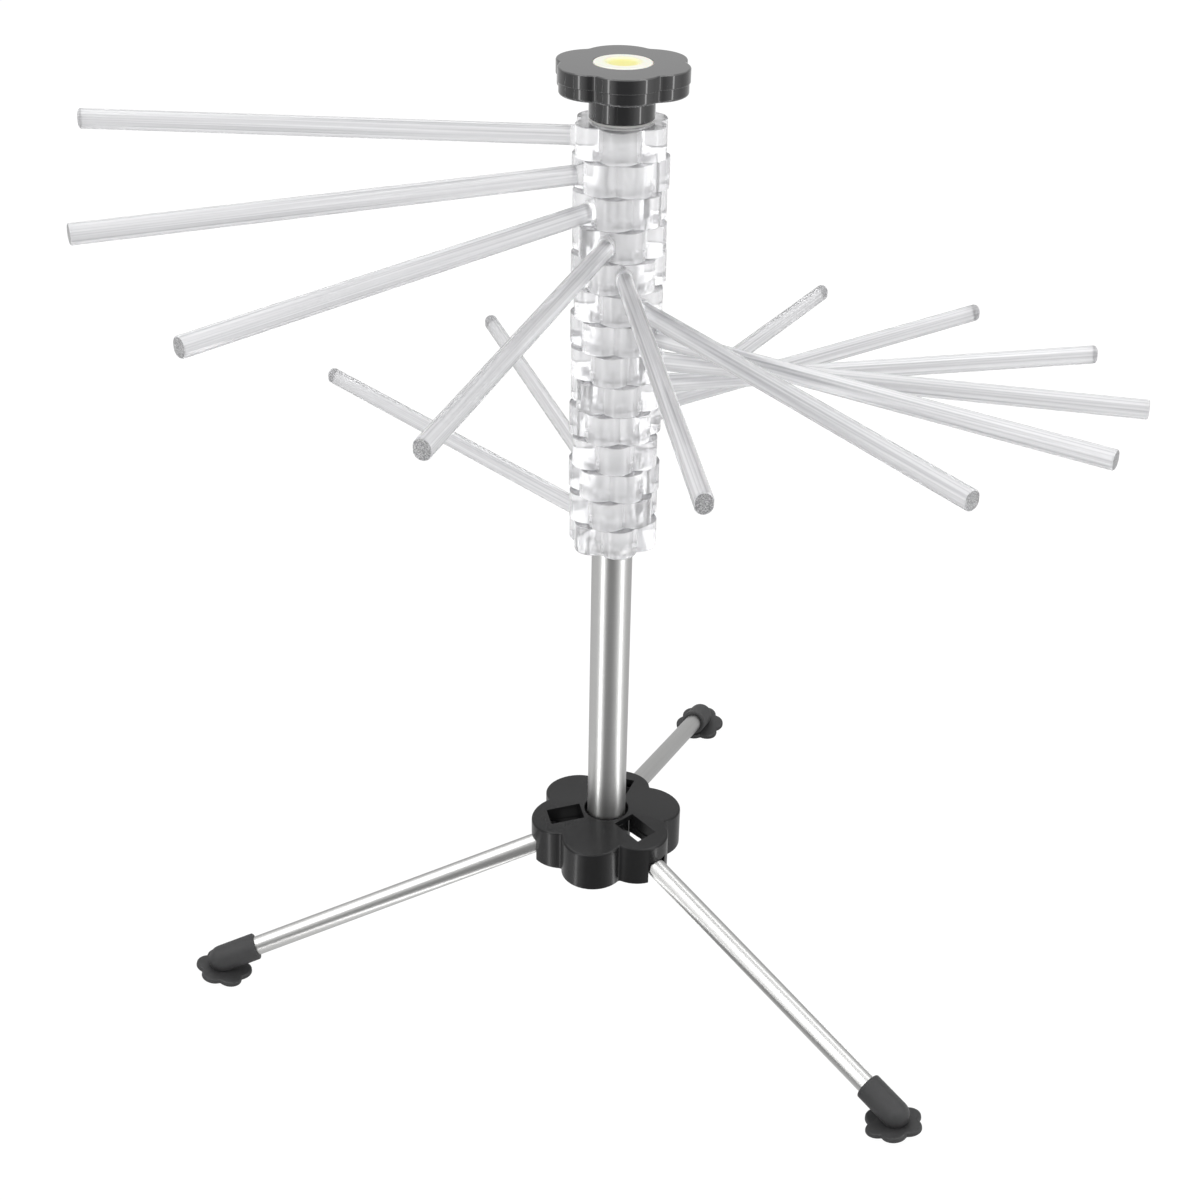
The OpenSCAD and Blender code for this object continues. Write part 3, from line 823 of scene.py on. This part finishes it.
# %% Cap and washer
CAP_TOP, DISH_R, DISH_DEPTH = 445.9, 7.4, 0.9
cap_line = draw("cap_line", 0.0, CAP_R, [
    (0, 0, CAP_SEAT + 0.02, 0, 0),
    (1, 0, CAP_SEAT + 0.02, 0, 0),
    (1, 0, CAP_TOP, 0, 0.7),
    (1, CAP_R - DISH_R, CAP_TOP, 0, 0.25),
    (1, CAP_R - DISH_R + 0.9, CAP_TOP - 0.55, 0, 0),
    (1, CAP_R - DISH_R + 2.6, CAP_TOP - 0.8, 0, 0),
    (1, CAP_R - DISH_R + 4.6, CAP_TOP - 0.88, 0, 0),
    (0, 0, CAP_TOP - DISH_DEPTH, 0, 0),
])
cap = grow("dished_cap", MOULDING, cap_line, bore=0.0, reach=CAP_R, valley=CAP_R, material=CAP_PLASTIC)
settle(cap, "knob", "cap_plastic", "knob_cap")
WASHER_R, WASHER_BORE_R, WASHER_TOP = 13.45, 4.3, KNOB_FOOT - 0.02
washer_line = draw("washer_line", WASHER_BORE_R, WASHER_R, [
    (0, 0, STACK_TOP, 0, 0.2),
    (1, 0, STACK_TOP, 0, 0.3),
    (1, 0, WASHER_TOP, 0, 0.3),
    (0, 0, WASHER_TOP, 0, 0.2),
])
washer = grow("slip_washer", MOULDING, washer_line, bore=WASHER_BORE_R, reach=WASHER_R, valley=WASHER_R,
              material=WASHER_NYLON)
settle(washer, "clamp_washer", "washer_nylon", "knob_washer")

# %% [markdown]
# ## The hub
#
# The hub is a domed six-lobed shell, open underneath. A boss in the middle holds the column, and pairs of
# upright plates hold the legs' hinge pins. Each leg has a window over its hinge and a notch in the rim.
# The shell is the lobed form again. Plates are fused on and windows and notches carved out, three times
# round the axis, so they are made once and placed on three turned points.

# %% Hub form
HUB_R, HUB_VALLEY_R, HUB_BORE_R, HUB_FOOT, HUB_RIM, HUB_CROWN = 38.0, 30.0, 9.55, 50.5, 71.0, 3.2
PIN_REACH, PIN_Z, PIN_R, PIN_HOLE_LENGTH = 27.0, 60.2, 1.5, 17.5
SLOT_HALF, CHEEK, CHEEK_START, CHEEK_END, CHEEK_FOOT, CHEEK_TOP = 5.45, 3.0, 20.0, 34.4, 51.5, 70.9
WEB_START, WEB_END, WEB_FOOT, WEB_TOP, NOTCH_TOP = 11.2, 20.5, 62.5, 71.6, 5.05
WINDOW_HALF, WINDOW_START, WINDOW_END, WINDOW_FOOT, CHAMFER = 6.0, 12.6, 29.4, 66, 0.4


def hub_form():
    """The shell with its plates fused on, and the notches, windows and pin holes carved out."""
    form = Form("hub_moulding", material=None)
    (material,) = form.sizes

    def at_legs(shape):
        """A shape made for a leg along X, at all three legs."""
        spots = form.node("GeometryNodePoints", {}, {"Count": len(LEGS)})
        inputs = {
            "Points": spots, "Instance": shape,
            "Rotation": form.point(0, 0, form.index * radians(120) + LEG_HEADINGS[1]),
        }
        placed = form.node("GeometryNodeInstanceOnPoints", {}, inputs)
        return form.node("GeometryNodeRealizeInstances", {}, {0: placed})

    def both_sides(start, end, low, high):
        """A pair of upright plates beside the leg's slot."""
        inner, outer = SLOT_HALF, SLOT_HALF + CHEEK
        left = form.box((start, inner, low), (end, outer, high))
        return form.joined(left, form.box((start, -outer, low), (end, -inner, high)))

    shell = form.use(
        LOBED, form.line, bore=HUB_BORE_R, reach=HUB_R, valley=HUB_VALLEY_R, soften=0.035, crown=HUB_CROWN,
        turn=LEG_HEADINGS[1],
    )
    cheeks = at_legs(both_sides(CHEEK_START, CHEEK_END, CHEEK_FOOT, CHEEK_TOP))
    webs = at_legs(both_sides(WEB_START, WEB_END, WEB_FOOT, WEB_TOP))
    notch = form.box((0, -SLOT_HALF, -FAR), (FAR, SLOT_HALF, NOTCH_TOP))
    notch = at_legs(form.moved(notch, (PIN_REACH, 0, PIN_Z), (0, LEG_SLOPE, 0)))
    window = form.box((WINDOW_START, -WINDOW_HALF, WINDOW_FOOT), (WINDOW_END, WINDOW_HALF, FAR + HUB_RIM))
    window = at_legs(window)
    middle, half = (WINDOW_START + WINDOW_END) / 2, (WINDOW_END - WINDOW_START) / 2
    funnel = form.box((-half, -WINDOW_HALF, -CHAMFER), (half, WINDOW_HALF, CHAMFER))
    x, y, z = form.split(form.position)
    grown = z + CHAMFER
    funnel = form.placed(funnel, form.point(x + x.math("SIGN") * grown, y + y.math("SIGN") * grown, z))
    surface = HUB_RIM + HUB_CROWN * (1 - (middle / HUB_R) ** 2)
    tilt = 2 * HUB_CROWN * middle / HUB_R ** 2
    funnel = at_legs(form.moved(funnel, (middle, 0, surface), (0, tilt, 0)))
    hole = form.node(
        "GeometryNodeMeshCylinder", {}, {"Vertices": 24, "Radius": PIN_R, "Depth": PIN_HOLE_LENGTH}
    )
    holes = at_legs(form.moved(hole, (PIN_REACH, 0, PIN_Z), (pi / 2, 0, 0)))
    solid = form.fused(shell, cheeks, webs)
    return form.finish(form.creased(form.carved(solid, notch, window, funnel, holes)), material)


hub_line = draw("hub_line", HUB_BORE_R, HUB_R, [
    (0, 2.05, 51.5, 0, 0),
    (0, -2.75, 51.5, 0, 0.3),
    (0, -2.75, 68.0, 1, 0.8),
    (1, 2.4, 68.0, 1, 0.8),
    (1, 2.4, HUB_FOOT, 0, 0.3),
    (1, 0, HUB_FOOT, 0, 0.5),
    (1, 0, HUB_RIM, 1, 1.0),
    (0, -1.45, HUB_RIM, 1, 0.3),
    (0, -1.45, 68.2, 0, 0),
    (0, 0, 68.2, 0, 0),
    (0, 0, 57.0, 0, 0),
    (0, 6.75, 57.0, 0, 0),
    (0, 6.75, 54.5, 0, 0),
    (0, 2.05, 54.5, 0, 0),
])
hub = grow("lobed_hub", hub_form(), hub_line, material=HUB_PLASTIC)
settle(hub, "stand", "hub_plastic", "hub")

# %% [markdown]
# ## The feet
#
# Each foot is one rubber moulding: a socket pushed on the leg's end, over a thin pad with six petals. Only
# the pad's inner part lies on the floor and the rest curls up a little. The pad is the lobed form with many
# rings, so that it can be bent, and the socket is a turned line that ends in a round elbow.

# %% Foot form
FOOT_REACH, PAD_R, PAD_VALLEY_R, PAD_T, PAD_BEND, PAD_CURL = 195.3, 14.0, 11.4, 2.4, -8.0, radians(13)
PAD_TURNS, BEND_EASE = (-13.5, 12, -13.5), 2
SOCKET_R, SOCKET_BORE_R, SOCKET_L, ELBOW_Z = 6.75, 4.8, 18.0, 8.8


def foot_form():
    """The pad is curled up past its bend, and then fused with the socket."""
    form = Form("rubber_foot", socket_line="", heading=0.0, pad_turn=0.0, material=None)
    socket_line, heading, pad_turn, material = form.sizes
    pad = form.use(
        LOBED, form.line, around=120, bore=0.0, reach=PAD_R, valley=PAD_VALLEY_R, soften=0.05, turn=pad_turn
    )
    x, y, z = form.split(form.position)
    past = (x - PAD_BEND).math("MAXIMUM", 0)
    share = (past / BEND_EASE).math("MINIMUM", 1)
    bent = form.point(x - past * (1 - cos(PAD_CURL)) - z * share * sin(PAD_CURL), y, z + past * sin(PAD_CURL))
    socket = form.use(
        LOBED, form.object(socket_line), around=48, bore=0.0, reach=SOCKET_R, valley=SOCKET_R, soften=0.05
    )
    socket = form.moved(socket, (0, 0, ELBOW_Z), (0, LEG_SLOPE - pi / 2, 0))
    moulding = form.creased(form.fused(form.placed(pad, bent), socket), angle=0.7)
    place = form.point(FOOT_REACH * heading.math("COSINE"), FOOT_REACH * heading.math("SINE"), 0)
    return form.finish(form.moved(moulding, place, form.point(0, 0, heading)), material)


RINGS, ELBOW_STEPS = 12, 12
pad_rings = [(ring / RINGS, 0, 0.0, 0, 0) for ring in range(RINGS)]
pad_rings += [(1, 0, 0.0, 0, 0.5), (1, 0, PAD_T, 0, 1.0)]
pad_rings += [(ring / RINGS, 0, PAD_T, 0, 0) for ring in reversed(range(RINGS))]
pad_line = draw("pad_line", 0.0, PAD_R, pad_rings, steps=5)
bends = [pi / 2 * step / ELBOW_STEPS for step in range(ELBOW_STEPS + 1)]
elbow = [(0, -SOCKET_R * sin(bend), -SOCKET_R * cos(bend), 0, 0) for bend in bends]
socket_line = draw("socket_line", 0.0, SOCKET_R, elbow + [
    (0, -SOCKET_R, SOCKET_L, 0, 0.9),
    (0, -SOCKET_BORE_R, SOCKET_L, 0, 0.4),
    (0, -SOCKET_BORE_R, SOCKET_R, 0, 0),
    (0, 0, SOCKET_R, 0, 0),
])
socket_object = line_object("socket_line", socket_line)
FOOT = foot_form()
for i, pad_turn in zip(LEGS, PAD_TURNS):
    foot = grow(f"rubber_foot_{i}", FOOT, pad_line, socket_line=socket_object, material=RUBBER,
                heading=LEG_HEADINGS[i], pad_turn=radians(pad_turn))
    settle(foot, f"leg_{i}", "foot_rubber", f"leg_foot_{i}")
bpy.data.objects.remove(socket_object)

# %% [markdown]
# ## The stage
#
# The photograph's background is pure white. A floor that the camera sees as white, and which keeps a soft
# shadow, gives that without more light on the rack. Steel and gloss show what stands round them, so the
# studio has two bright soft boxes at the front left and front right, and a darker gap between them where
# the camera stands. That gap is the dark band in the middle of each tube, and a narrow, very bright strip
# in each box draws the thin lights on the knob. More boxes hang overhead, for the flat tops and the rims.

# %% Studio light by direction
INNER_DIM, INNER_BOOST = 0.3, 1.5
SOFT_BOXES = [
    (0.00, 0.60), (0.06, 0.60), (0.20, 0.72), (0.285, 0.72), (0.325, 1.05), (0.351, 1.40), (0.356, 5.20),
    (0.366, 5.20), (0.371, 1.50), (0.41, 0.85), (0.44, 0.34), (0.50, 0.32), (0.55, 0.36), (0.60, 0.62),
    (0.64, 1.05), (0.672, 1.40), (0.677, 5.20), (0.686, 5.20), (0.691, 1.40), (0.73, 1.05), (0.77, 0.72),
    (0.82, 0.62), (0.94, 0.60), (1.00, 0.60),
]
OVERHEAD = [
    (0.40, 0.0), (0.50, 0.55), (0.60, 0.35), (0.78, 0.35), (0.85, 2.8), (0.89, 2.8), (0.94, 0.3), (1.00, 0.3),
]


def brightness(sheet, boxes, place, share):
    """How bright a list of boxes is at a place; the share keeps the ramp's colours within 1."""
    stops = [(spot, bright * share) for spot, bright in boxes]
    shades = sheet.node("ShaderNodeValToRGB", {"stops": stops}, {0: place})
    return sheet.node("ShaderNodeSeparateColor", {}, {0: shades}) / share


def studio(sheet, x, y):
    """How bright the studio is towards x and y; 0 and 1 on the ramp are behind the rack."""
    return brightness(sheet, SOFT_BOXES, x.math("ARCTAN2", y * -1.0) / tau + 0.5, share=0.18)


def overhead(sheet, z):
    """The boxes over the rack: the flat tops see the dim part and the rounded rims the bright one."""
    return brightness(sheet, OVERHEAD, z, share=0.2)


def ray_kinds(sheet):
    """How far a ray sees the white background, whether it came off something glossy, and how white to be.

    A ray that has bounced inside the acrylic sees a little of the studio too, and a background that is
    brighter than white. That keeps the collars clear, in spite of what each pass through them takes.
    """
    path = sheet.node("ShaderNodeLightPath").socket.node
    names = ("Is Camera Ray", "Is Glossy Ray", "Is Transmission Ray", "Glossy Depth")
    seen, glossy, through, turns = [Wire(sheet, path.outputs[name]) for name in names]
    bounced = turns.math("MINIMUM", 1)
    clear = seen.math("MAXIMUM", through * (1 - INNER_DIM * bounced))
    return clear, glossy.math("MAXIMUM", bounced), 1 + INNER_BOOST * through * bounced


def emission(sheet, strength):
    return sheet.node("ShaderNodeEmission", {}, {"Color": (1, 1, 1, 1), "Strength": strength})


def mixed(sheet, share, first, second):
    return sheet.node("ShaderNodeMixShader", {}, {0: share, 1: first, 2: second})


world = bpy.data.worlds.new("studio")
bpy.context.scene.world = world
world.use_nodes = True
sky = Sheet(world.node_tree)
sky.tree.nodes.clear()
clear, mirrored, whiteness = ray_kinds(sky)
x, y, z = sky.split(sky.node("ShaderNodeTexCoord", output="Generated"))
around = studio(sky, x, y)
AMBIENT = 0.70
level = AMBIENT * (1 - mirrored) + (around + overhead(sky, z)) * mirrored
level = level * (1 - clear) + whiteness * clear
background = sky.node("ShaderNodeBackground", {}, {"Color": (1, 1, 1, 1), "Strength": level})
sky.node("ShaderNodeOutputWorld", {}, {0: background})
print("studio made")

# %% [markdown]
# ### The floor
#
# To the camera the floor is nine parts of white light and one part of a grey surface, and the grey part
# carries the soft shadow. To a ray that comes off something glossy it goes on with the studio's boxes.

# %% Floor
FLOOR_R, FLOOR_GREY, FLOOR_WHITE, SHADOW_SHARE = 6, (0.9, 0.9, 0.9, 1), 1.07, 0.1
bpy.ops.mesh.primitive_circle_add(vertices=96, radius=FLOOR_R, fill_type="NGON")
floor = bpy.context.object
floor.name = "floor"
floor_material = bpy.data.materials.new("white_floor")
floor_material.use_nodes = True
ground = Sheet(floor_material.node_tree)
ground.tree.nodes.clear()
clear, mirrored, whiteness = ray_kinds(ground)
x, y, _ = ground.split(ground.node("ShaderNodeTexCoord", output="Object"))
plain = ground.node("ShaderNodeBsdfDiffuse", {}, {"Color": FLOOR_GREY})
for_camera = mixed(ground, 1 - SHADOW_SHARE, plain, emission(ground, whiteness * FLOOR_WHITE))
for_shine = mixed(ground, mirrored, plain, emission(ground, studio(ground, x, y)))
ground.node("ShaderNodeOutputMaterial", {}, {0: mixed(ground, clear, for_shine, for_camera)})
floor.data.materials.append(floor_material)
print("floor made")

# %% [markdown]
# ### The lamps
#
# Three large lamps light the matt pieces and throw the shadow. Glossy and clear pieces can't see them, so
# only the studio shows in those.

# %% Lamps
LAMP_AIM = (0, 0, 0.2)


def lamp(name, place, size, power):
    """A square lamp, aimed at the middle of the rack, that lights it and is never seen itself."""
    light = bpy.data.lights.new(name, "AREA")
    light.size, light.energy = size, power
    light_object = bpy.data.objects.new(name, light)
    bpy.context.scene.collection.objects.link(light_object)
    light_object.location = place
    light_object.rotation_euler = (Vector(LAMP_AIM) - Vector(place)).to_track_quat("-Z", "Y").to_euler()
    light_object.visible_glossy = False
    light_object.visible_transmission = False
    light_object.visible_camera = False


lamp("key", (-1.1, -1.3, 1.9), size=1.2, power=12.5)
lamp("fill", (1.4, -1.0, 1.5), size=1.4, power=6.5)
lamp("top", (0.1, 0.9, 2.1), size=1.4, power=8)
print("lamps made")
